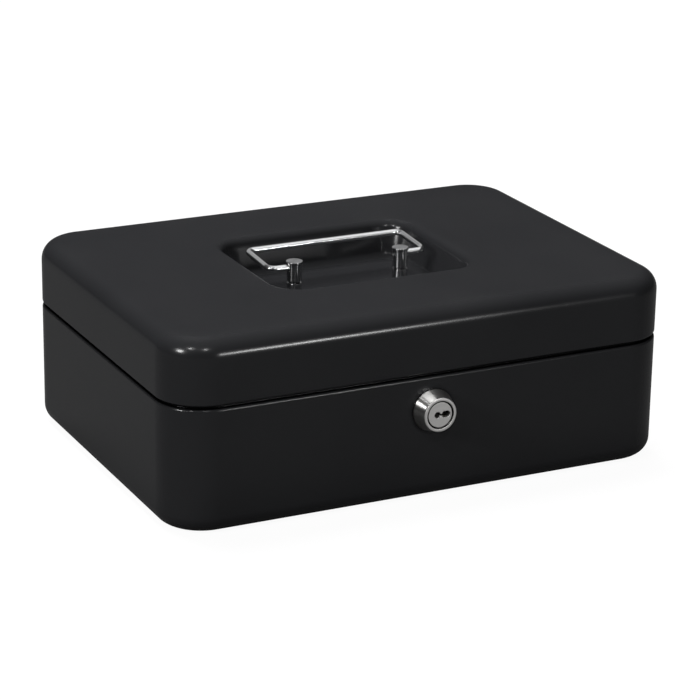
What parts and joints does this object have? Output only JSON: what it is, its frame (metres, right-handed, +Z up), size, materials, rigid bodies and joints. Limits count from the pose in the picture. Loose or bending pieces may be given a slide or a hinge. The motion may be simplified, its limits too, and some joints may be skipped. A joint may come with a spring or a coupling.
{
  "type": "cash box",
  "caption": "Rectangular steel cash box with rounded corners, hinged lid with a sunken folding wire handle, front cam lock and lift-out coin tray.",
  "frame": {"origin": "on the floor, under the middle of the case, with the lock's stand-out left out of the middle", "axes": "+X to the right along the front, +Y from the lock side to the hinge side, +Z up"},
  "size_m": [0.25, 0.1875, 0.0906],
  "materials": {
    "case_paint": "semi-gloss black baked paint",
    "chrome": "bright chrome plate",
    "lock_nickel": "satin nickel plate",
    "zinc_steel": "bright zinc plate",
    "wafer_brass": "stamped brass",
    "spring_steel": "drawn spring wire",
    "tray_plastic": "fine matt moulding texture"
  },
  "bodies": {
    "base": {"base_shell": "case_paint", "base_hinge_leaf": "case_paint", "hinge_pin": "zinc_steel", "lock_collar": "lock_nickel", "lock_housing": "lock_nickel", "lock_washer": "zinc_steel", "lock_nut": "zinc_steel"},
    "lid": {"lid_shell": "case_paint", "lid_hinge_leaf": "case_paint", "handle_post_left": "chrome", "handle_post_right": "chrome", "post_washers": "zinc_steel", "post_screws": "zinc_steel", "lid_strike": "case_paint"},
    "bail": {"handle_bail": "chrome"},
    "plug": {"lock_plug": "lock_nickel", "lock_wafers": "wafer_brass", "wafer_springs": "spring_steel", "lock_cam": "zinc_steel", "cam_washer": "zinc_steel", "cam_screw": "zinc_steel"},
    "tray": {"coin_tray": "tray_plastic"}
  },
  "joints": [
    {"name": "lid_hinge", "type": "hinge", "parent": "base", "child": "lid", "pos_m": [0, 0.0879, 0.0596], "axis": [-1, 0, 0], "range_deg": [0, 95]},
    {"name": "handle_swing", "type": "hinge", "parent": "lid", "child": "bail", "pos_m": [0, -0.002, 0.0874], "axis": [1, 0, 0], "range_deg": [-34, 206]},
    {"name": "lock_turn", "type": "hinge", "parent": "base", "child": "plug", "pos_m": [0, -0.09, 0.0426], "axis": [0, 1, 0], "range_deg": [0, 90]},
    {"name": "tray_lift", "type": "slide", "parent": "base", "child": "tray", "axis": [0, 0, 1], "range_m": [0, 0.01]}
  ]
}
